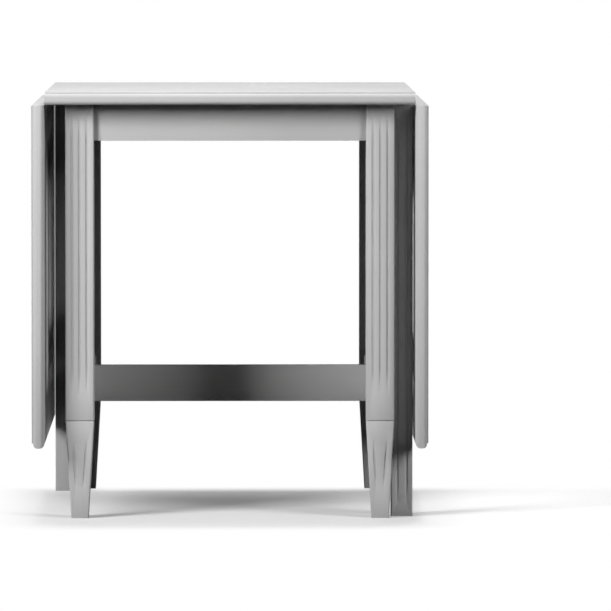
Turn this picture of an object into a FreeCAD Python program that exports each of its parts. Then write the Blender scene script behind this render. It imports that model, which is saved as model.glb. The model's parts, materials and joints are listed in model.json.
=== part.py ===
import FreeCAD, Part
import math
import os
from FreeCAD import Vector

# Drop-leaf gateleg table, folded: both leaves hang down and both gates lie along the sides.
# Millimetres. X runs across the table, the front is at -Y, Z is up, the origin is on the floor.

# Table top and leaves
TOP_HEIGHT = 750.0
TOP_THICK = 22.0
PANEL_WIDTH = 648.0
TOP_DEPTH = 800.0
LEAF_LENGTH = 600.0
LEAF_GAP = 2.6
FILLET_DROP = 2.4
QUIRK_WIDTH = 1.5
OVOLO_RADIUS = 7.0
UNDER_RADIUS = 8.0

# Fixed legs
LEG_SIZE = 50.0
FOOT_SIZE = 30.5
TAPER_HEIGHT = 172.2
END_OVERHANG = 46.0
SIDE_OVERHANG = 35.0
LEG_ARRIS = 1.5
SCRIBE_WIDTH = 2.0
SCRIBE_DEPTH = 1.4

# Flutes on the end faces of the legs
FLUTE_COUNT = 3
FLUTE_PITCH = 13.0
FLUTE_RADIUS = 3.0
FLUTE_DEPTH = 1.8
FLUTE_RUNOUT = 36.0
FLUTE_TIP = 0.1
FLUTE_FOOT_MARGIN = 51.8
FLUTE_TOP_MARGIN = 23.0
FOOT_FLUTE_SPREAD_TOP = 23.8
FOOT_FLUTE_SPREAD_BASE = 13.0
FOOT_FLUTE_DEPTH = 1.4
FOOT_FLUTE_RUNOUT = 20.0
FOOT_FLUTE_TOP_MARGIN = 37.2
FOOT_FLUTE_BASE_MARGIN = 54.0

# Aprons, stretchers and their tenons
APRON_HEIGHT = 64.0
APRON_THICK = 20.0
APRON_SETBACK = 10.0
SIDE_RAIL_THICK = 22.0
SIDE_RAIL_INSET = 20.0
STRETCHER_BASE = 184.0
STRETCHER_HEIGHT = 65.0
STRETCHER_THICK = 22.0
TENON_LENGTH = 20.0
STRETCHER_TENON_LENGTH = 14.0
TENON_THICK = 10.0
TENON_SHOULDER = 8.0
JOINT_CLEARANCE = 0.15
GLUE_SPACE = 1.0
BLOCK_REACH = 70.0
BLOCK_HEIGHT = 45.0
BLOCK_DEPTH = 52.0

# Gates: a swinging leg, a pivot stile and two rails on each side
GATE_WIDTH = 38.0
GATE_THICK = 44.0
GATE_LEAF_GAP = 3.6
GATE_LEG_GAP = 1.5
GATE_TOP_GAP = 1.5
STILE_TOP_GAP = 0.5
GATE_RAIL_THICK = 20.0
GATE_RAIL_HEIGHT = 70.0
GATE_RAIL_MARGIN = 16.0
GATE_RAIL_LAP = 4.5
GATE_HOUSING = 36.0
GATE_PIVOT_Y = 120.0
GATE_TENON_LENGTH = 18.0
GATE_FLUTE_COUNT = 2
GATE_FLUTE_PITCH = 16.5
GATE_FLUTE_BASE = 22.0
PIVOT_RADIUS = 5.0
PIVOT_BITE = 26.0
PIVOT_CLEARANCE = 0.08

# Butt hinges under the top
HINGE_COUNT = 2
HINGE_PITCH = 400.0
HINGE_LENGTH = 70.0
HINGE_WING = 30.0
HINGE_PLATE = 2.0
KNUCKLE_COUNT = 3
KNUCKLE_RADIUS = 3.5
KNUCKLE_GAP = 0.3
KNUCKLE_ROOM = 0.7
PIN_RADIUS = 2.0
PIN_CLEARANCE = 0.05
RECESS_CLEARANCE = 0.2

# Places worked out from the sizes above
UP = Vector(0, 0, 1)
CENTRE = Vector(0, 0, 0)
UNDERSIDE = TOP_HEIGHT - TOP_THICK
PANEL_EDGE = PANEL_WIDTH / 2
HALF_DEPTH = TOP_DEPTH / 2
HINGE_X = PANEL_EDGE + LEAF_GAP / 2
LEG_OUTER = PANEL_EDGE - SIDE_OVERHANG
LEG_INNER = LEG_OUTER - LEG_SIZE
LEG_END = HALF_DEPTH - END_OVERHANG
LEG_INSIDE = LEG_END - LEG_SIZE
SIDE_OUTER = LEG_OUTER - SIDE_RAIL_INSET
SIDE_INNER = SIDE_OUTER - SIDE_RAIL_THICK
SIDE_MIDDLE = (SIDE_OUTER + SIDE_INNER) / 2
APRON_BASE = UNDERSIDE - APRON_HEIGHT
APRON_END = LEG_END - APRON_SETBACK
STRETCHER_TOP = STRETCHER_BASE + STRETCHER_HEIGHT
GATE_OUTER = HINGE_X - GATE_LEAF_GAP
GATE_INNER = GATE_OUTER - GATE_WIDTH
GATE_END = LEG_INSIDE - GATE_LEG_GAP
GATE_TOP = UNDERSIDE - GATE_TOP_GAP
STILE_TOP = APRON_BASE - STILE_TOP_GAP
STILE_FRONT = GATE_PIVOT_Y - GATE_THICK / 2
STILE_REAR = GATE_PIVOT_Y + GATE_THICK / 2
STILE_OUTER = GATE_INNER + GATE_RAIL_LAP
WING_EDGE = KNUCKLE_RADIUS + KNUCKLE_ROOM


def box(x, y, z):
    """A block between the low and high value on each axis."""
    low = Vector(min(x), min(y), min(z))
    return Part.makeBox(max(x) - low.x, max(y) - low.y, max(z) - low.z, low)


def rod(radius, start, end):
    """A round bar between two points."""
    return Part.makeCylinder(radius, (end - start).Length, start, end - start)


def grown(x, y, z, clearance):
    """A block that is larger than the given one by a clearance on every side."""
    return box((min(x) - clearance, max(x) + clearance), (min(y) - clearance, max(y) + clearance),
               (min(z) - clearance, max(z) + clearance))


def half_turn(shape):
    """The same piece on the opposite side of the table."""
    turned = shape.copy()
    turned.rotate(CENTRE, UP, 180)
    return turned


def eased_outline(x, y, width, depth, ease, z):
    """A closed outline with its corners eased, centred on x and y."""
    points = []
    for sx, sy in ((1, 1), (-1, 1), (-1, -1), (1, -1)):
        across = Vector(x + sx * (width / 2 - ease), y + sy * depth / 2, z)
        along = Vector(x + sx * width / 2, y + sy * (depth / 2 - ease), z)
        points += [along, across] if sx == sy else [across, along]
    return Part.makePolygon(points + points[:1])


def post(x, y, width, depth, ease, z):
    """A straight post with eased arrises."""
    outline = eased_outline(x, y, width, depth, ease, min(z))
    return Part.Face(outline).extrude(UP * (max(z) - min(z)))


def flute(start, end, outward, depth, runout):
    """A round groove cutter that rises to the face at both of its ends."""
    along = (end - start).normalize()
    rise = outward * (FLUTE_RADIUS - FLUTE_TIP)
    floor = outward * (FLUTE_RADIUS - depth)
    path = [start + rise, start + along * runout + floor, end - along * runout + floor, end + rise]
    ring = Part.Wire(Part.makeCircle(FLUTE_RADIUS, path[0], path[1] - path[0]))
    return Part.Wire(Part.makePolygon(path)).makePipeShell([ring], True, False, 1)


def face_flutes(x, y, count, pitch, low, high):
    """The row of upright flutes on a face that looks to the front."""
    first = x - pitch * (count - 1) / 2
    places = [first + pitch * index for index in range(count)]
    return [flute(Vector(place, y, low), Vector(place, y, high), Vector(0, -1, 0), FLUTE_DEPTH, FLUTE_RUNOUT)
            for place in places]


def foot_flutes(x, y):
    """Two short flutes that follow the front of the tapered foot."""
    setback = (LEG_SIZE - FOOT_SIZE) / 2
    slope = Vector(0, -setback, TAPER_HEIGHT).normalize()
    outward = Vector(0, -slope.z, slope.y)
    cutters = []
    for side in (-1, 1):
        ends = []
        for height, spread in ((FOOT_FLUTE_BASE_MARGIN, FOOT_FLUTE_SPREAD_BASE),
                               (TAPER_HEIGHT - FOOT_FLUTE_TOP_MARGIN, FOOT_FLUTE_SPREAD_TOP)):
            front = y + setback * (1 - height / TAPER_HEIGHT)
            ends.append(Vector(x + side * spread / 2, front, height))
        cutters.append(flute(ends[0], ends[1], outward, FOOT_FLUTE_DEPTH, FOOT_FLUTE_RUNOUT))
    return cutters


def tenon_span(base, height):
    """Low and high edge of the tenon on a rail."""
    return (base + TENON_SHOULDER, base + height - TENON_SHOULDER)


def centred(middle, size):
    """Low and high value of a size about its middle."""
    return (middle - size / 2, middle + size / 2)


def mortise(x, y, z):
    """The pocket for a tenon or a housed rail, with the joint's clearance on every side."""
    return grown(x, y, z, JOINT_CLEARANCE)


def front_right_leg():
    """A fluted leg with a scribed line, a tapered foot and the mortises for its rails."""
    x = (LEG_INNER + LEG_OUTER) / 2
    y = -(LEG_END + LEG_INSIDE) / 2
    shaft = post(x, y, LEG_SIZE, LEG_SIZE, LEG_ARRIS, (TAPER_HEIGHT, UNDERSIDE))
    foot = Part.makeLoft([eased_outline(x, y, FOOT_SIZE, FOOT_SIZE, LEG_ARRIS, 0),
                          eased_outline(x, y, LEG_SIZE, LEG_SIZE, LEG_ARRIS, TAPER_HEIGHT)], True, True)
    line = centred(TAPER_HEIGHT, SCRIBE_WIDTH)
    core = post(x, y, LEG_SIZE - 2 * SCRIBE_DEPTH, LEG_SIZE - 2 * SCRIBE_DEPTH, LEG_ARRIS, line)
    scribe = box(centred(x, 2 * LEG_SIZE), centred(y, 2 * LEG_SIZE), line).cut(core)
    front = -LEG_END
    flutes = face_flutes(x, front, FLUTE_COUNT, FLUTE_PITCH, TAPER_HEIGHT + FLUTE_FOOT_MARGIN,
                         UNDERSIDE - FLUTE_TOP_MARGIN)
    apron_y = centred(-APRON_END + APRON_THICK / 2, TENON_THICK)
    side_x = centred(SIDE_MIDDLE, TENON_THICK)
    upper = tenon_span(APRON_BASE, APRON_HEIGHT)
    lower = tenon_span(STRETCHER_BASE, STRETCHER_HEIGHT)
    depth = (-LEG_INSIDE, -LEG_INSIDE - TENON_LENGTH - GLUE_SPACE)
    pockets = [mortise((LEG_INNER, LEG_INNER + TENON_LENGTH + GLUE_SPACE), apron_y, upper),
               mortise(side_x, depth, upper), mortise(side_x, depth, lower)]
    return shaft.fuse(foot).cut([scribe] + flutes + foot_flutes(x, front) + pockets)


def apron_front():
    """The rail under the front of the top, tenoned into both front legs."""
    y = (-APRON_END, -APRON_END + APRON_THICK)
    reach = LEG_INNER + TENON_LENGTH
    rail = box((-LEG_INNER, LEG_INNER), y, (APRON_BASE, UNDERSIDE))
    tongue = box((-reach, reach), centred(sum(y) / 2, TENON_THICK), tenon_span(APRON_BASE, APRON_HEIGHT))
    return rail.fuse(tongue).removeSplitter()


def side_rail(base, height):
    """A rail between the front and rear leg on the right, tenoned into both."""
    reach = LEG_INSIDE + TENON_LENGTH
    rail = box((SIDE_INNER, SIDE_OUTER), (-LEG_INSIDE, LEG_INSIDE), (base, base + height))
    tongue = box(centred(SIDE_MIDDLE, TENON_THICK), (-reach, reach), tenon_span(base, height))
    return rail.fuse(tongue).removeSplitter()


def pivot_bore(low, high):
    """The hole that a gate's pivot dowel turns in."""
    radius = PIVOT_RADIUS + PIVOT_CLEARANCE
    return rod(radius, Vector(SIDE_MIDDLE, GATE_PIVOT_Y, low), Vector(SIDE_MIDDLE, GATE_PIVOT_Y, high))


def apron_right():
    """The side apron, with the bore for the top pivot of the gate."""
    return side_rail(APRON_BASE, APRON_HEIGHT).cut(pivot_bore(APRON_BASE, APRON_BASE + PIVOT_BITE + GLUE_SPACE))


def stretcher_right():
    """The low side rail, with the lower pivot's bore and the mortise of the long stretcher."""
    reach = SIDE_INNER + STRETCHER_TENON_LENGTH + GLUE_SPACE
    pocket = mortise((SIDE_INNER, reach), centred(0, TENON_THICK), tenon_span(STRETCHER_BASE, STRETCHER_HEIGHT))
    bore = pivot_bore(STRETCHER_TOP - PIVOT_BITE - GLUE_SPACE, STRETCHER_TOP)
    return side_rail(STRETCHER_BASE, STRETCHER_HEIGHT).cut([pocket, bore])


def stretcher_centre():
    """The long low stretcher that ties the two side rails together."""
    z = (STRETCHER_BASE, STRETCHER_TOP)
    reach = SIDE_INNER + STRETCHER_TENON_LENGTH
    rail = box((-SIDE_INNER, SIDE_INNER), centred(0, STRETCHER_THICK), z)
    tongue = box((-reach, reach), centred(0, TENON_THICK), tenon_span(STRETCHER_BASE, STRETCHER_HEIGHT))
    return rail.fuse(tongue).removeSplitter()


def corner_block_front_right():
    """A brace that fills the corner between two aprons and the leg."""
    back = -APRON_END + APRON_THICK
    base = UNDERSIDE - BLOCK_HEIGHT
    outline = [(LEG_INNER - BLOCK_REACH, back), (LEG_INNER, back), (LEG_INNER, -LEG_INSIDE),
               (SIDE_INNER, -LEG_INSIDE), (SIDE_INNER, -LEG_INSIDE + BLOCK_DEPTH)]
    points = [Vector(x, y, base) for x, y in outline]
    return Part.Face(Part.makePolygon(points + points[:1])).extrude(UP * BLOCK_HEIGHT)


def four_corners(shape):
    """A piece of the front right corner, repeated at all four corners."""
    mirrored = shape.mirror(CENTRE, Vector(1, 0, 0))
    return {"front_right": shape, "front_left": mirrored,
            "rear_left": half_turn(shape), "rear_right": half_turn(mirrored)}


def moulded_end(end, turn):
    """Edges of one moulded end: round under, flat nose, ovolo, quirk and fillet up to the top."""
    top = TOP_HEIGHT
    step = top - FILLET_DROP
    nose = end - turn * OVOLO_RADIUS
    bend = math.sqrt(0.5)
    under = (Vector(end - turn * UNDER_RADIUS, 0, UNDERSIDE),
             Vector(end - turn * UNDER_RADIUS * (1 - bend), 0, UNDERSIDE + UNDER_RADIUS * (1 - bend)),
             Vector(end, 0, UNDERSIDE + UNDER_RADIUS))
    ovolo = (Vector(end, 0, step - OVOLO_RADIUS),
             Vector(end - turn * OVOLO_RADIUS * (1 - bend), 0, step - OVOLO_RADIUS * (1 - bend)),
             Vector(nose, 0, step))
    quirk = Vector(nose - turn * QUIRK_WIDTH, 0, step)
    crest = Vector(quirk.x, 0, top)
    edges = [Part.Arc(*under), Part.LineSegment(under[2], ovolo[0]), Part.Arc(*ovolo),
             Part.LineSegment(ovolo[2], quirk), Part.LineSegment(quirk, crest)]
    return [edge.toShape() for edge in edges], under[0], crest


def moulded_section(start, end, both):
    """The section of a board that lies along X, moulded at its far end and, if asked, at the near end."""
    edges, low, high = moulded_end(end, 1)
    if both:
        near, near_low, near_high = moulded_end(start, -1)
        edges += near
    else:
        near_low = Vector(start, 0, UNDERSIDE)
        near_high = Vector(start, 0, TOP_HEIGHT)
        edges.append(Part.LineSegment(near_low, near_high).toShape())
    edges.append(Part.LineSegment(high, near_high).toShape())
    edges.append(Part.LineSegment(low, near_low).toShape())
    return Part.Face(Part.Wire(Part.__sortEdges__(edges)))


def moulded_across(width):
    """A board moulded at its front and rear ends, of a given width about X = 0."""
    section = moulded_section(-HALF_DEPTH, HALF_DEPTH, True)
    section.rotate(CENTRE, UP, 90)
    section.translate(Vector(-width / 2, 0, 0))
    return section.extrude(Vector(width, 0, 0))


def hinge_places():
    """The middle of each hinge along the right edge of the panel."""
    first = -HINGE_PITCH * (HINGE_COUNT - 1) / 2
    return [Vector(HINGE_X, first + HINGE_PITCH * index, UNDERSIDE) for index in range(HINGE_COUNT)]


def hinge_pockets(turn):
    """What is cut from a board for its hinges: the wings' recesses and the knuckles' notches."""
    cutters = []
    for hinge in hinge_places():
        room = centred(hinge.y, HINGE_LENGTH + 2 * RECESS_CLEARANCE)
        wing = (hinge.x, hinge.x + turn * (HINGE_WING + RECESS_CLEARANCE))
        cutters.append(box(wing, room, (UNDERSIDE, UNDERSIDE + HINGE_PLATE)))
        cutters.append(box((hinge.x, hinge.x + turn * WING_EDGE), room, (UNDERSIDE, UNDERSIDE + WING_EDGE)))
    return cutters


def hinge_wing(hinge, turn, offset):
    """One wing of a butt hinge with every second knuckle, lying flat under the board."""
    plate_x = (hinge.x + turn * WING_EDGE, hinge.x + turn * HINGE_WING)
    plate_z = (hinge.z, hinge.z + HINGE_PLATE)
    wing = box(plate_x, centred(hinge.y, HINGE_LENGTH), plate_z)
    pitch = HINGE_LENGTH / KNUCKLE_COUNT
    knuckles = []
    for index in range(offset, KNUCKLE_COUNT, 2):
        low = hinge.y - HINGE_LENGTH / 2 + pitch * index + KNUCKLE_GAP / 2
        high = low + pitch - KNUCKLE_GAP
        knuckles.append(rod(KNUCKLE_RADIUS, Vector(hinge.x, low, hinge.z), Vector(hinge.x, high, hinge.z)))
        knuckles.append(box((hinge.x, plate_x[0]), (low, high), plate_z))
    half = Vector(0, HINGE_LENGTH, 0)
    bore = rod(PIN_RADIUS + PIN_CLEARANCE, hinge - half, hinge + half)
    return wing.fuse(knuckles).cut(bore).removeSplitter()


def hinge_pin(hinge):
    """The pin through all the knuckles of one hinge."""
    half = Vector(0, HINGE_LENGTH / 2, 0)
    return rod(PIN_RADIUS, hinge - half, hinge + half)


def hang(shape):
    """A piece of the raised right leaf, turned down about the hinge axis."""
    hanging = shape.copy()
    hanging.rotate(Vector(HINGE_X, 0, UNDERSIDE), Vector(0, 1, 0), 90)
    return hanging


def top_panel():
    """The fixed middle of the top, moulded at its ends and let out for the hinges."""
    pockets = hinge_pockets(-1)
    return moulded_across(PANEL_WIDTH).cut(pockets + [half_turn(pocket) for pocket in pockets])


def leaf():
    """The right leaf as it lies when raised, moulded on its three free edges."""
    near = PANEL_EDGE + LEAF_GAP
    ends = moulded_across(LEAF_LENGTH)
    ends.translate(Vector(near + LEAF_LENGTH / 2, 0, 0))
    length = moulded_section(near, near + LEAF_LENGTH, False)
    length.translate(Vector(0, -HALF_DEPTH, 0))
    return ends.common(length.extrude(Vector(0, TOP_DEPTH, 0))).cut(hinge_pockets(1))


def gate_rail_x():
    """The two faces of the gate's rails."""
    return (STILE_OUTER - GATE_RAIL_THICK, STILE_OUTER)


def gate_rail_bases():
    """The heights of the undersides of the gate's two rails."""
    return {"bottom": STRETCHER_TOP + GATE_RAIL_MARGIN, "top": STILE_TOP - GATE_RAIL_MARGIN - GATE_RAIL_HEIGHT}


def gate_leg():
    """The swinging leg of the right gate, fluted in front and housed on its inner side for the rails."""
    x = (GATE_INNER + GATE_OUTER) / 2
    y = -GATE_END + GATE_THICK / 2
    leg = post(x, y, GATE_WIDTH, GATE_THICK, LEG_ARRIS, (0, GATE_TOP))
    flutes = face_flutes(x, -GATE_END, GATE_FLUTE_COUNT, GATE_FLUTE_PITCH, GATE_FLUTE_BASE,
                         UNDERSIDE - FLUTE_TOP_MARGIN)
    face = -GATE_END + GATE_THICK
    housings = [mortise(gate_rail_x(), (face, face - GATE_HOUSING), (base, base + GATE_RAIL_HEIGHT))
                for base in gate_rail_bases().values()]
    return leg.cut(flutes + housings)


def gate_stile():
    """The upright that the right gate turns on, bored for a dowel at each end and mortised for the rails."""
    stile = box((SIDE_INNER, STILE_OUTER), (STILE_FRONT, STILE_REAR), (STRETCHER_TOP, STILE_TOP))
    bores = [pivot_bore(STRETCHER_TOP, STRETCHER_TOP + PIVOT_BITE + GLUE_SPACE),
             pivot_bore(STILE_TOP - PIVOT_BITE - GLUE_SPACE, STILE_TOP)]
    x = centred(sum(gate_rail_x()) / 2, TENON_THICK)
    y = (STILE_FRONT, STILE_FRONT + GATE_TENON_LENGTH + GLUE_SPACE)
    pockets = [mortise(x, y, tenon_span(base, GATE_RAIL_HEIGHT)) for base in gate_rail_bases().values()]
    return stile.cut(bores + pockets)


def gate_rail(base):
    """A rail of the right gate, tenoned into its stile and housed in the inner side of its leg."""
    near = -GATE_END + GATE_THICK - GATE_HOUSING
    rail = box(gate_rail_x(), (near, STILE_FRONT), (base, base + GATE_RAIL_HEIGHT))
    tongue = box(centred(sum(gate_rail_x()) / 2, TENON_THICK), (STILE_FRONT, STILE_FRONT + GATE_TENON_LENGTH),
                 tenon_span(base, GATE_RAIL_HEIGHT))
    return rail.fuse(tongue).removeSplitter()


def pivot_dowel(seam):
    """A dowel that reaches as far into the stile as into the rail that carries it."""
    place = Vector(SIDE_MIDDLE, GATE_PIVOT_Y, seam)
    return rod(PIVOT_RADIUS, place - UP * PIVOT_BITE, place + UP * PIVOT_BITE)


def gate_pieces():
    """Every piece of the right gate."""
    pieces = {"gate_leg": gate_leg(), "gate_stile": gate_stile()}
    for name, base in gate_rail_bases().items():
        pieces["gate_rail_" + name] = gate_rail(base)
    for name, seam in (("bottom", STRETCHER_TOP), ("top", APRON_BASE)):
        pieces["gate_pivot_" + name] = pivot_dowel(seam)
    return pieces


def hinge_pieces():
    """The wings and pins of the right leaf's hinges."""
    pieces = {}
    for hinge, place in zip(hinge_places(), ("front", "rear")):
        pieces["hinge_fixed_" + place] = hinge_wing(hinge, -1, 0)
        pieces["hinge_leaf_" + place] = hang(hinge_wing(hinge, 1, 1))
        pieces["hinge_pin_" + place] = hinge_pin(hinge)
    return pieces


def table():
    """All the pieces of the table by name."""
    pieces = {"top_panel": top_panel(), "apron_front": apron_front(), "stretcher_centre": stretcher_centre()}
    pieces["apron_rear"] = half_turn(pieces["apron_front"])
    for corner, shape in four_corners(front_right_leg()).items():
        pieces["leg_" + corner] = shape
    for corner, shape in four_corners(corner_block_front_right()).items():
        pieces["corner_block_" + corner] = shape
    right = {"leaf": hang(leaf()), "apron": apron_right(), "stretcher": stretcher_right()}
    right.update(gate_pieces())
    right.update(hinge_pieces())
    for name, shape in right.items():
        pieces[name + "_right"] = shape
        pieces[name + "_left"] = half_turn(shape)
    return pieces


os.makedirs("parts", exist_ok=True)
for node, piece in table().items():
    piece.exportStep("parts/" + node + ".step")
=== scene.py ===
import json
import math

import bmesh
import bpy
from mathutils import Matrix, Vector

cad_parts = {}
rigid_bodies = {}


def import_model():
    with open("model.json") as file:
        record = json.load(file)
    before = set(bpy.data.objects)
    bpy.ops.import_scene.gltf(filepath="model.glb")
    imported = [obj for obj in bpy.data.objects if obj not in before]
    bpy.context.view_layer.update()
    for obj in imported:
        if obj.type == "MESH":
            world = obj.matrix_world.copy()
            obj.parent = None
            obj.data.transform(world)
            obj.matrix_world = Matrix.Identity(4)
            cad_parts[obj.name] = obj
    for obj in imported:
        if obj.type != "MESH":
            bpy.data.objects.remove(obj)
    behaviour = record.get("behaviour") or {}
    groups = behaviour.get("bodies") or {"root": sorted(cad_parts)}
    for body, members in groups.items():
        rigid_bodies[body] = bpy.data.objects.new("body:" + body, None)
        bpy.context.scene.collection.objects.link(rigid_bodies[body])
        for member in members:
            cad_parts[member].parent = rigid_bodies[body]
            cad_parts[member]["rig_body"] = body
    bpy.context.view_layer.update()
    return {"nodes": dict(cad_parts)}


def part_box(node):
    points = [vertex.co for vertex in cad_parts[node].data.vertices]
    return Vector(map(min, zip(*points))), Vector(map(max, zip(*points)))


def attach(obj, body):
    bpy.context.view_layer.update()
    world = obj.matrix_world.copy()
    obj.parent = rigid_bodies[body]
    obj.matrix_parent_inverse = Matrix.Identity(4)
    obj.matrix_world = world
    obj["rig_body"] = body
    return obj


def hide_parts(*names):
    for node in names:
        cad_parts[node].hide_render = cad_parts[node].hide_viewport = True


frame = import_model()

# The photograph's camera: metres in front of the table's middle and above the floor, focal length and picture width in
# pixels, and how far the middle of the picture lies to the right of straight ahead and below it
CAMERA_DISTANCE = 12.803
CAMERA_HEIGHT = 1.0453
FOCAL_PIXELS = 7103.7
PICTURE_PIXELS = 611
CENTRE_RIGHT = 75.55
CENTRE_DOWN = 382.5
SENSOR_WIDTH = 36.0
FAR_CLIP = 100.0

# The soft lamps: place, target, width and height in metres, watts, and whether camera and sheen show the lamp itself
SOFTBOXES = {
    "left_softbox": ((-2.85, -2.67, 1.95), (0, 0, 0.3), 1.4, 1.7, 174.0, False),
    "right_softbox": ((2.85, -2.58, 1.9), (0, 0, 0.35), 1.3, 1.7, 86.0, False),
    "top_softbox": ((0.25, 0.75, 3.8), (0, 0, 0.75), 1.9, 1.9, 116.0, True),
    "rear_softbox": ((-0.5, 3.7, 0.9), (0, 0.3, 0.5), 1.6, 0.6, 42.0, False),
}

# The background's strength in the camera, and as a light on the table
BACKDROP_WHITE = 1.0
BACKDROP_FILL = 0.001

# The floor: half its width, and the patch of it that shows before it fades to white, by its middle, its reach, the
# rounding of its corners, the shares of the reach between which it fades and the white that lies over all of it
FLOOR_HALF = 30.0
FLOOR_CENTRE = (0.2, -0.14, 0)
FLOOR_REACH = (0.66, 0.5, 1)
FLOOR_ROUNDING = 0.2
FLOOR_FADE = (0.72, 1.0)
FLOOR_VEIL = 0.13

# The floor's tone to the eye, and its tone in the light that it sends up
FLOOR_TONE = 0.88
FLOOR_BOUNCE = 0.01
FLOOR_ROUGHNESS = 0.7

# Eased edges of wood and steel, in metres, and the facets that round them
WOOD_EASE = 0.0003
STEEL_EASE = 0.0002
EASE_FACETS = 2

# Points nearer to each other than this are one, in metres: in the CAD mesh, and in a finished piece
WELD = 1e-6
SLIVER = 2e-6

# Angles between faces: up to which they are one face, from which an edge is eased, and from which shading shows it
FLAT_ANGLE = math.radians(0.4)
EASED_ANGLE = math.radians(28)
CREASE_ANGLE = math.radians(32)
SCREW_CREASE_ANGLE = math.radians(35)

# The paint film: stretch of the wood's grain under it, the tone that grain and clouds give it, and its orange peel
GRAIN_STRETCH = (150.0, 150.0, 7.0)
GRAIN_TONE = 0.35
CLOUD_TONE = (0.84, 1.04)
PEEL_HEIGHT = 0.35
PAINT_ROUGHNESS = (0.48, 0.68)

# Thin paint along edges, lighter also as a painted highlight: its width in metres, the cosines of the turn at which it
# starts and is full, the specks that break it up, and how much lighter and smoother it is
EDGE_WIDTH = 0.0014
EDGE_TURN = (0.99, 0.8)
EDGE_SPECKS = (-0.6, 1.4)
EDGE_WEAR_AND_HIGHLIGHT_TONE = 0.3
EDGE_POLISH = 0.2

# Painted shade in hollows: their reach in metres, the open shares at which the painted shade starts and is full, and
# how much darker it is
HOLLOW_REACH = 0.008
HOLLOW_OPEN = (0.95, 0.35)
HOLLOW_SHADE_TONE = 0.6
MASK_SAMPLES = 3

# Painted wood: amounts of the film's features (grain, edge wear with a painted highlight, painted shade in hollows),
# sheen, greys at two places of its tone, strength and depth of its relief
PAINT_AMOUNTS = {"Grain": 0.32, "Edge Wear And Highlight": 0.6, "Hollow Shade": 0.8}
PAINT_SHEEN = 0.04
PAINT_GREYS = ((0.45, 0.35), (1.0, 0.575))
PAINT_RELIEF = (0.2, 0.0003)

# Bare beech: stretch of its flecks, colours at two places of their tone, roughness and relief
BEECH_STRETCH = (160.0, 160.0, 14.0)
BEECH_COLOURS = ((0.35, (0.36, 0.21, 0.115, 1)), (0.7, (0.60, 0.41, 0.25, 1)))
BEECH_ROUGHNESS = (0.5, 0.72)
BEECH_RELIEF = (0.25, 0.0003)

# Zinc-plated steel: fineness of its spangle, stretch of its drawing lines, roughness, relief and its greys
ZINC_SPANGLE = 380.0
ZINC_STRETCH = (3000.0, 120.0, 3000.0)
ZINC_ROUGHNESS = (0.25, 0.5)
ZINC_RELIEF = (0.1, 0.0002)
HINGE_GREYS = ((0.0, 0.36), (1.0, 0.55))
SCREW_GREYS = ((0.0, 0.42), (1.0, 0.66))

# Oval-head wood screws, in metres: the head, and the arms of its cross recess from the middle
SCREW_RADIUS = 0.0034
SCREW_CROWN = 0.0008
SCREW_SLOT = 0.0009
SCREW_SLOT_REACH = 0.0021

# Screws on a hinge wing, in metres: pitch along it, inset of the outer ones and of the middle one from its free edge,
# height of the fixed wings' bare side, and distance of the leaf wings' bare side from the table's middle
WING_PITCH = 0.024
WING_INSET = 0.009
WING_MIDDLE_INSET = 0.018
FIXED_WING_HEIGHT = 0.728
LEAF_WING_DISTANCE = 0.3253

# The screw of a corner block, in metres outward from the block's middle
BLOCK_SCREW_OUTWARD = (0.018, 0.016)

# Turns that lay the grain along a piece
UPRIGHT = (0, 0, 0)
ALONG_X = (0, math.radians(90), 0)
ALONG_Y = (math.radians(90), 0, 0)


def grey(tone):
    """A neutral colour."""
    return (tone, tone, tone, 1)


def place_object(name, data):
    """A new object in the scene."""
    made = bpy.data.objects.new(name, data)
    bpy.context.scene.collection.objects.link(made)
    return made


def look_along(thing, way):
    """Turns a camera or a lamp to look along a direction."""
    thing.rotation_euler = way.to_track_quat("-Z", "Y").to_euler()


def socket(group, name, in_out, kind, value=None):
    """Adds a named socket to a node group."""
    made = group.interface.new_socket(name, in_out=in_out, socket_type="NodeSocket" + kind)
    if value is not None:
        made.default_value = value


def wire(tree, source, target):
    """Links an output to an input, each given as (node, socket name or index)."""
    tree.links.new(source[0].outputs[source[1]], target[0].inputs[target[1]])


def node(tree, kind, **values):
    """Adds a node and sets its properties, or its inputs where no property has the name."""
    made = tree.nodes.new(kind)
    for name, value in values.items():
        if hasattr(made, name):
            setattr(made, name, value)
        else:
            made.inputs[name.replace("_", " ")].default_value = value
    return made


def spread(tree, value, low, high, start=0.0, end=1.0):
    """An output's range from start to end, turned into the range from low to high."""
    made = node(tree, "ShaderNodeMapRange", From_Min=start, From_Max=end, To_Min=low, To_Max=high)
    wire(tree, value, (made, "Value"))
    return made, "Result"


def times(tree, first, second, clamp=False):
    """The product of two outputs."""
    made = node(tree, "ShaderNodeMath", operation="MULTIPLY", use_clamp=clamp)
    wire(tree, first, (made, 0))
    wire(tree, second, (made, 1))
    return made, "Value"


def plus_share(tree, base, share, value, clamp=False):
    """An output with a fixed share of another one added to it."""
    made = node(tree, "ShaderNodeMath", operation="MULTIPLY_ADD", use_clamp=clamp)
    wire(tree, value, (made, 0))
    made.inputs[1].default_value = share
    wire(tree, base, (made, 2))
    return made, "Value"


def noise(tree, place, **values):
    """A noise texture's value at a place."""
    made = node(tree, "ShaderNodeTexNoise", **values)
    wire(tree, place, (made, "Vector"))
    return made, "Fac"


def ramp(tree, value, stops):
    """A colour picked by an output between two stops, each a position and a colour."""
    made = node(tree, "ShaderNodeValToRGB")
    for element, (position, colour) in zip(made.color_ramp.elements, stops):
        element.position = position
        element.color = colour
    wire(tree, value, (made, "Fac"))
    return made, "Color"


def grey_stops(greys):
    """The stops of a ramp of greys."""
    return [(position, grey(tone)) for position, tone in greys]


def mapped(tree, place, **values):
    """A place, turned or scaled."""
    made = node(tree, "ShaderNodeMapping", **values)
    wire(tree, place, (made, "Vector"))
    return made, "Vector"


def object_place(tree):
    """The place on a piece in its own frame."""
    return node(tree, "ShaderNodeTexCoord"), "Object"


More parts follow.
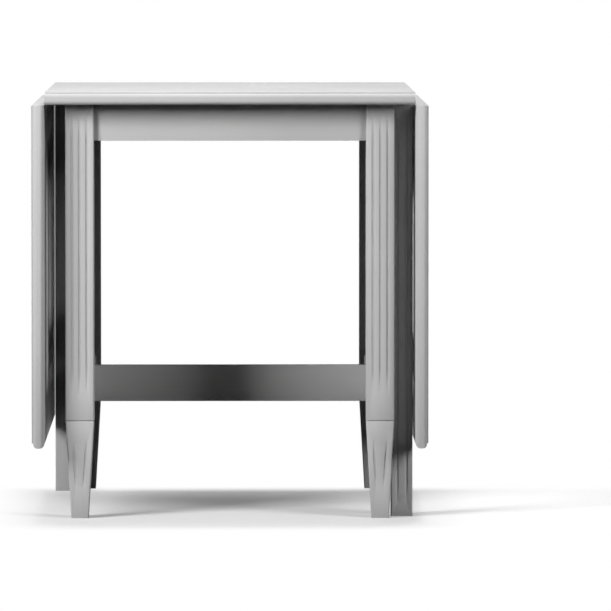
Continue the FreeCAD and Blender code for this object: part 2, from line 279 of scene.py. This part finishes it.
def material(name):
    """A node material with its surface shader."""
    made = bpy.data.materials.new(name)
    made.use_nodes = True
    tree = made.node_tree
    return made, tree, tree.nodes["Principled BSDF"]


def cover(tree, shader, colour, roughness, height, relief):
    """Gives a surface shader its colour, roughness and relief."""
    strength, depth = relief
    bump = node(tree, "ShaderNodeBump", Strength=strength, Distance=depth)
    wire(tree, colour, (shader, "Base Color"))
    wire(tree, roughness, (shader, "Roughness"))
    wire(tree, height, (bump, "Height"))
    wire(tree, (bump, "Normal"), (shader, "Normal"))


def edge_wear_and_highlight_mask(tree, amount, specks):
    """Where the paint is thin along edges and a painted highlight lightens them: the surface turns within the edge's
    width, broken up by specks.
    """
    turned = node(tree, "ShaderNodeBevel", samples=MASK_SAMPLES, Radius=EDGE_WIDTH)
    true = node(tree, "ShaderNodeNewGeometry")
    same = node(tree, "ShaderNodeVectorMath", operation="DOT_PRODUCT")
    wire(tree, (turned, "Normal"), (same, 0))
    wire(tree, (true, "Normal"), (same, 1))
    edge = spread(tree, (same, "Value"), 0.0, 1.0, *EDGE_TURN)
    return times(tree, times(tree, edge, specks, clamp=True), amount)


def hollow_shade_mask(tree, amount):
    """Painted shade in flutes, quirks and inside corners of a piece: darker where they shut out the light around."""
    shut = node(tree, "ShaderNodeAmbientOcclusion", samples=MASK_SAMPLES, only_local=True, Distance=HOLLOW_REACH)
    return times(tree, spread(tree, (shut, "AO"), 0.0, 1.0, *HOLLOW_OPEN), amount)


def paint_film_group():
    """Sprayed satin paint over wood: cloudy tone, grain under the film, orange peel, thin edges with a painted
    highlight, and painted shade in hollows.
    """
    tree = bpy.data.node_groups.new("paint_film", "ShaderNodeTree")
    socket(tree, "Vector", "INPUT", "Vector")
    for name, amount in PAINT_AMOUNTS.items():
        socket(tree, name, "INPUT", "Float", amount)
    for name in ("Tone", "Roughness", "Height"):
        socket(tree, name, "OUTPUT", "Float")
    source = node(tree, "NodeGroupInput")
    result = node(tree, "NodeGroupOutput")
    place = (source, "Vector")
    cloud = noise(tree, place, Scale=5.0, Detail=3.0, Roughness=0.5)
    peel = noise(tree, place, Scale=900.0, Detail=2.0, Roughness=0.5)
    speck = noise(tree, place, Scale=140.0, Detail=4.0, Roughness=0.7)
    stretched = mapped(tree, place, Scale=GRAIN_STRETCH)
    grain = noise(tree, stretched, Scale=1.0, Detail=5.0, Roughness=0.62, Distortion=0.4)
    fibre = times(tree, grain, (source, "Grain"))
    worn_and_highlit = edge_wear_and_highlight_mask(tree, (source, "Edge Wear And Highlight"), spread(tree, speck, *EDGE_SPECKS))
    shaded_hollows = hollow_shade_mask(tree, (source, "Hollow Shade"))
    tone = plus_share(tree, spread(tree, cloud, *CLOUD_TONE), -GRAIN_TONE, fibre)
    # edge wear and painted highlight: edges lighter than the face
    tone = plus_share(tree, tone, EDGE_WEAR_AND_HIGHLIGHT_TONE, worn_and_highlit)
    # painted shade: darker where a hollow shuts out the light around it
    tone = plus_share(tree, tone, -HOLLOW_SHADE_TONE, shaded_hollows, clamp=True)
    roughness = plus_share(tree, spread(tree, speck, *PAINT_ROUGHNESS), -EDGE_POLISH, worn_and_highlit, clamp=True)
    wire(tree, tone, (result, "Tone"))
    wire(tree, roughness, (result, "Roughness"))
    wire(tree, plus_share(tree, fibre, PEEL_HEIGHT, peel), (result, "Height"))
    return tree


def painted_wood(name, film, turn):
    """Satin pale grey paint, with the grain under it turned along the piece."""
    made, tree, shader = material(name)
    shader.inputs["Specular IOR Level"].default_value = PAINT_SHEEN
    coat = node(tree, "ShaderNodeGroup", node_tree=film)
    for feature, amount in PAINT_AMOUNTS.items():
        coat.inputs[feature].default_value = amount
    wire(tree, mapped(tree, object_place(tree), Rotation=turn), (coat, "Vector"))
    colour = ramp(tree, (coat, "Tone"), grey_stops(PAINT_GREYS))
    cover(tree, shader, colour, (coat, "Roughness"), (coat, "Height"), PAINT_RELIEF)
    return made


def bare_beech(name, turn):
    """Unpainted beech with fine flecks along the grain."""
    made, tree, shader = material(name)
    stretched = mapped(tree, object_place(tree), Rotation=turn, Scale=BEECH_STRETCH)
    grain = noise(tree, stretched, Scale=1.0, Detail=6.0, Roughness=0.65, Distortion=0.6)
    colour = ramp(tree, grain, BEECH_COLOURS)
    cover(tree, shader, colour, spread(tree, grain, *BEECH_ROUGHNESS), grain, BEECH_RELIEF)
    return made


def zinc_steel(name, greys):
    """Zinc-plated steel: mottled plating with fine drawing lines."""
    made, tree, shader = material(name)
    shader.inputs["Metallic"].default_value = 1.0
    place = object_place(tree)
    spangle = node(tree, "ShaderNodeTexVoronoi", Scale=ZINC_SPANGLE)
    wire(tree, place, (spangle, "Vector"))
    drawn = noise(tree, mapped(tree, place, Scale=ZINC_STRETCH), Scale=1.0, Detail=3.0, Roughness=0.6)
    colour = ramp(tree, (spangle, "Color"), grey_stops(greys))
    cover(tree, shader, colour, spread(tree, drawn, *ZINC_ROUGHNESS), drawn, ZINC_RELIEF)
    return made


def close_slivers(shape):
    """Merges points that lie closer than the export can tell apart, and drops the faces that vanish with them."""
    bmesh.ops.remove_doubles(shape, verts=shape.verts, dist=SLIVER)
    bmesh.ops.dissolve_degenerate(shape, dist=SLIVER, edges=shape.edges)


def eased_piece(name, ease, finish):
    """A CAD piece with softly eased edges in its place."""
    mesh = bpy.data.meshes.new(name + "_eased")
    shape = bmesh.new()
    shape.from_mesh(frame["nodes"][name].data)
    bmesh.ops.remove_doubles(shape, verts=shape.verts, dist=WELD)
    bmesh.ops.dissolve_limit(shape, angle_limit=FLAT_ANGLE, verts=shape.verts, edges=shape.edges)
    sharp = [edge for edge in shape.edges if edge.is_manifold and edge.calc_face_angle(0) > EASED_ANGLE]
    bmesh.ops.bevel(shape, geom=sharp, offset=ease, segments=EASE_FACETS, profile=0.5, affect="EDGES",
                    clamp_overlap=True, harden_normals=False)
    close_slivers(shape)
    bmesh.ops.triangulate(shape, faces=[face for face in shape.faces if len(face.verts) > 4])
    shape.to_mesh(mesh)
    shape.free()
    mesh.shade_smooth()
    mesh.set_sharp_from_angle(angle=CREASE_ANGLE)
    mesh.materials.clear()
    mesh.materials.append(finish)
    piece = place_object(name + "_eased", mesh)
    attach(piece, frame["nodes"][name]["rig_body"])
    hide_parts(name)


def screw_tree(finish):
    """Oval screw heads with a cross recess, one on each point, the way the point faces."""
    tree = bpy.data.node_groups.new("screw_heads", "GeometryNodeTree")
    tree.is_modifier = True
    socket(tree, "Points", "INPUT", "Geometry")
    for name, value in (("Head Radius", SCREW_RADIUS), ("Crown", SCREW_CROWN), ("Slot Width", SCREW_SLOT),
                        ("Slot Reach", SCREW_SLOT_REACH)):
        socket(tree, name, "INPUT", "Float", value)
    socket(tree, "Screws", "OUTPUT", "Geometry")
    source = node(tree, "NodeGroupInput")
    result = node(tree, "NodeGroupOutput")

    # The head: a sphere that is flattened to the height of its crown
    head = node(tree, "GeometryNodeMeshUVSphere", Segments=24, Rings=12)
    wire(tree, (source, "Head Radius"), (head, "Radius"))
    flatness = node(tree, "ShaderNodeMath", operation="DIVIDE")
    wire(tree, (source, "Crown"), (flatness, 0))
    wire(tree, (source, "Head Radius"), (flatness, 1))
    flat = node(tree, "ShaderNodeCombineXYZ", X=1.0, Y=1.0)
    wire(tree, (flatness, "Value"), (flat, "Z"))
    dome = node(tree, "GeometryNodeTransform")
    wire(tree, (head, "Mesh"), (dome, "Geometry"))
    wire(tree, (flat, "Vector"), (dome, "Scale"))

    # The cross recess: two bars at the crown's top, each as long as the reach on both sides of the middle
    recess = node(tree, "GeometryNodeMeshBoolean", operation="DIFFERENCE", solver="EXACT")
    wire(tree, (dome, "Geometry"), (recess, 0))
    both_sides = node(tree, "ShaderNodeMath", operation="ADD")
    wire(tree, (source, "Slot Reach"), (both_sides, 0))
    wire(tree, (source, "Slot Reach"), (both_sides, 1))
    lift = node(tree, "ShaderNodeCombineXYZ")
    wire(tree, (source, "Crown"), (lift, "Z"))
    for along, across in (("X", "Y"), ("Y", "X")):
        size = node(tree, "ShaderNodeCombineXYZ")
        wire(tree, (both_sides, "Value"), (size, along))
        wire(tree, (source, "Slot Width"), (size, across))
        wire(tree, (source, "Crown"), (size, "Z"))
        bar = node(tree, "GeometryNodeMeshCube")
        wire(tree, (size, "Vector"), (bar, "Size"))
        raised = node(tree, "GeometryNodeTransform")
        wire(tree, (bar, "Mesh"), (raised, "Geometry"))
        wire(tree, (lift, "Vector"), (raised, "Translation"))
        wire(tree, (raised, "Geometry"), (recess, 1))

    # One head on each point, turned the way that the point faces
    facing = node(tree, "GeometryNodeInputNamedAttribute", data_type="FLOAT_VECTOR", Name="facing")
    aim = node(tree, "FunctionNodeAlignEulerToVector", axis="Z")
    wire(tree, (facing, "Attribute"), (aim, "Vector"))
    place = node(tree, "GeometryNodeInstanceOnPoints")
    wire(tree, (source, "Points"), (place, "Points"))
    wire(tree, (recess, "Mesh"), (place, "Instance"))
    wire(tree, (aim, "Rotation"), (place, "Rotation"))
    real = node(tree, "GeometryNodeRealizeInstances")
    paint = node(tree, "GeometryNodeSetMaterial", Material=finish)
    wire(tree, (place, "Instances"), (real, "Geometry"))
    wire(tree, (real, "Geometry"), (paint, "Geometry"))
    wire(tree, (paint, "Geometry"), (result, "Screws"))
    return tree


def wing_screws(name):
    """Where the three screws sit on a hinge wing, staggered along it, and the way that they face."""
    low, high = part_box(name)
    middle = (low + high) / 2
    side = 1 if middle.x > 0 else -1
    spots = []
    for step in (-1, 0, 1):
        along = middle.y + step * WING_PITCH
        inset = WING_MIDDLE_INSET if step == 0 else WING_INSET
        if name.startswith("hinge_fixed"):
            free_edge = low.x if side > 0 else high.x
            spots.append((Vector((free_edge + side * inset, along, FIXED_WING_HEIGHT)), Vector((0, 0, -1))))
        else:
            spots.append((Vector((side * LEAF_WING_DISTANCE, along, low.z + inset)), Vector((-side, 0, 0))))
    return spots


def block_screws(name):
    """The screw that goes up through a corner block into the top."""
    low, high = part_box(name)
    middle = (low + high) / 2
    right, back = BLOCK_SCREW_OUTWARD
    outward = Vector((math.copysign(right, middle.x), math.copysign(back, middle.y), 0))
    return [(Vector((middle.x, middle.y, low.z)) + outward, Vector((0, 0, -1)))]


def screw_heads(name, body, spots, tree):
    """One plain mesh of every screw head on a body."""
    mesh = bpy.data.meshes.new(name + "_spots")
    mesh.from_pydata([place for place, way in spots], [], [])
    facing = mesh.attributes.new("facing", "FLOAT_VECTOR", "POINT")
    facing.data.foreach_set("vector", [part for place, way in spots for part in way])
    piece = place_object(name, mesh)
    driven = piece.modifiers.new("screws", "NODES")
    driven.node_group = tree
    bpy.context.view_layer.update()
    solved = piece.evaluated_get(bpy.context.evaluated_depsgraph_get())
    heads = bpy.data.meshes.new_from_object(solved)
    piece.modifiers.remove(driven)
    piece.data = heads
    shape = bmesh.new()
    shape.from_mesh(heads)
    close_slivers(shape)
    shape.to_mesh(heads)
    shape.free()
    heads.shade_smooth()
    heads.set_sharp_from_angle(angle=SCREW_CREASE_ANGLE)
    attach(piece, body)


def photo_camera():
    """The photograph's view: far off, slightly above the top, square to the front."""
    lens = bpy.data.cameras.new("photo_camera")
    lens.sensor_width = SENSOR_WIDTH
    lens.lens = FOCAL_PIXELS * SENSOR_WIDTH / PICTURE_PIXELS
    lens.clip_end = FAR_CLIP
    camera = place_object("photo_camera", lens)
    camera.location = (0, -CAMERA_DISTANCE, CAMERA_HEIGHT)
    look_along(camera, Vector((CENTRE_RIGHT, FOCAL_PIXELS, -CENTRE_DOWN)))
    bpy.context.scene.camera = camera


def floor_fade(tree):
    """How far the floor has faded to white, by the distance from the middle of its patch."""
    steps = [node(tree, "ShaderNodeVectorMath", operation=kind) for kind in ("SUBTRACT", "DIVIDE", "ABSOLUTE")]
    steps[0].inputs[1].default_value = FLOOR_CENTRE
    steps[1].inputs[1].default_value = FLOOR_REACH
    place = object_place(tree)
    for step in steps:
        wire(tree, place, (step, 0))
        place = (step, "Vector")
    split = node(tree, "ShaderNodeSeparateXYZ")
    wire(tree, place, (split, "Vector"))
    away = node(tree, "ShaderNodeMath", operation="SMOOTH_MAX")
    away.inputs[2].default_value = FLOOR_ROUNDING
    wire(tree, (split, "X"), (away, 0))
    wire(tree, (split, "Y"), (away, 1))
    fade, result = spread(tree, (away, "Value"), FLOOR_VEIL, 1.0, *FLOOR_FADE)
    fade.interpolation_type = "SMOOTHSTEP"
    return fade, result


def pale_floor():
    """A pale floor under the table that fades to white around it, and sends little light back up."""
    made, tree, shader = material("pale_floor")
    shader.inputs["Roughness"].default_value = FLOOR_ROUGHNESS
    shader.inputs["Specular IOR Level"].default_value = 0.0
    path = node(tree, "ShaderNodeLightPath")
    seen = node(tree, "ShaderNodeMath", operation="MAXIMUM")
    wire(tree, (path, "Is Camera Ray"), (seen, 0))
    wire(tree, (path, "Is Glossy Ray"), (seen, 1))
    tone = node(tree, "ShaderNodeMix", data_type="RGBA", A=grey(FLOOR_BOUNCE), B=grey(FLOOR_TONE))
    wire(tree, (seen, "Value"), (tone, "Factor"))
    wire(tree, (tone, "Result"), (shader, "Base Color"))
    white = node(tree, "ShaderNodeEmission", Color=grey(1), Strength=BACKDROP_WHITE)
    blend = node(tree, "ShaderNodeMixShader")
    wire(tree, times(tree, (seen, "Value"), floor_fade(tree)), (blend, "Fac"))
    wire(tree, (shader, "BSDF"), (blend, 1))
    wire(tree, (white, "Emission"), (blend, 2))
    wire(tree, (blend, "Shader"), (tree.nodes["Material Output"], "Surface"))
    return made


def studio():
    """The floor that the table stands on."""
    mesh = bpy.data.meshes.new("floor")
    corners = [(right * FLOOR_HALF, back * FLOOR_HALF, 0) for right, back in ((-1, -1), (1, -1), (1, 1), (-1, 1))]
    mesh.from_pydata(corners, [], [(0, 1, 2, 3)])
    floor = place_object("floor", mesh)
    mesh.materials.append(pale_floor())


def surround():
    """The world: white where the camera looks at it, a plain dim fill where it lights the table."""
    world = bpy.data.worlds.new("studio")
    bpy.context.scene.world = world
    world.use_nodes = True
    tree = world.node_tree
    light = tree.nodes["Background"]
    light.inputs["Color"].default_value = grey(1)
    path = node(tree, "ShaderNodeLightPath")
    strength = spread(tree, (path, "Is Camera Ray"), BACKDROP_FILL, BACKDROP_WHITE)
    wire(tree, strength, (light, "Strength"))


def softbox(name, place, target, width, height, power, mirrored):
    """A flat soft lamp that looks at a point; one that isn't mirrored lights the paint without a sheen on it."""
    lamp = bpy.data.lights.new(name, "AREA")
    lamp.shape = "RECTANGLE"
    lamp.size = width
    lamp.size_y = height
    lamp.energy = power
    light = place_object(name, lamp)
    light.location = place
    look_along(light, Vector(target) - Vector(place))
    light.visible_camera = mirrored
    light.visible_glossy = mirrored


film = paint_film_group()
paint_upright = painted_wood("satin_paint_upright", film, UPRIGHT)
paint_across = painted_wood("satin_paint_across", film, ALONG_X)
paint_deep = painted_wood("satin_paint_deep", film, ALONG_Y)
beech_upright = bare_beech("beech_upright", UPRIGHT)
beech_across = bare_beech("beech_across", ALONG_X)
hinge_zinc = zinc_steel("hinge_zinc", HINGE_GREYS)
screw_zinc = zinc_steel("screw_zinc", SCREW_GREYS)

# How the names of pieces begin, with their easing, finish and slot; the first row that fits counts
FINISHES = (
    ("hinge_", STEEL_EASE, hinge_zinc, "hinge_steel"),
    ("corner_block", WOOD_EASE, beech_across, "bare_wood"),
    ("gate_pivot", WOOD_EASE, beech_upright, "bare_wood"),
    (("leg_", "gate_leg", "gate_stile"), WOOD_EASE, paint_upright, "painted_wood"),
    (("apron_front", "apron_rear", "stretcher_centre"), WOOD_EASE, paint_across, "painted_wood"),
    ("", WOOD_EASE, paint_deep, "painted_wood"),
)

for name in sorted(frame["nodes"]):
    ease, finish, slot = next(row[1:] for row in FINISHES if name.startswith(row[0]))
    eased_piece(name, ease, finish)

heads = screw_tree(screw_zinc)
spots = {"frame": [], "leaf_left": [], "leaf_right": []}
for name in sorted(frame["nodes"]):
    if name.startswith(("hinge_fixed", "hinge_leaf")):
        spots[frame["nodes"][name]["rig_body"]] += wing_screws(name)
    elif name.startswith("corner_block"):
        spots["frame"] += block_screws(name)
for body, places in spots.items():
    screw_heads("screws_" + body, body, places, heads)

photo_camera()
studio()
surround()
for name, setting in SOFTBOXES.items():
    softbox(name, *setting)
bpy.context.scene.view_settings.view_transform = "Standard"
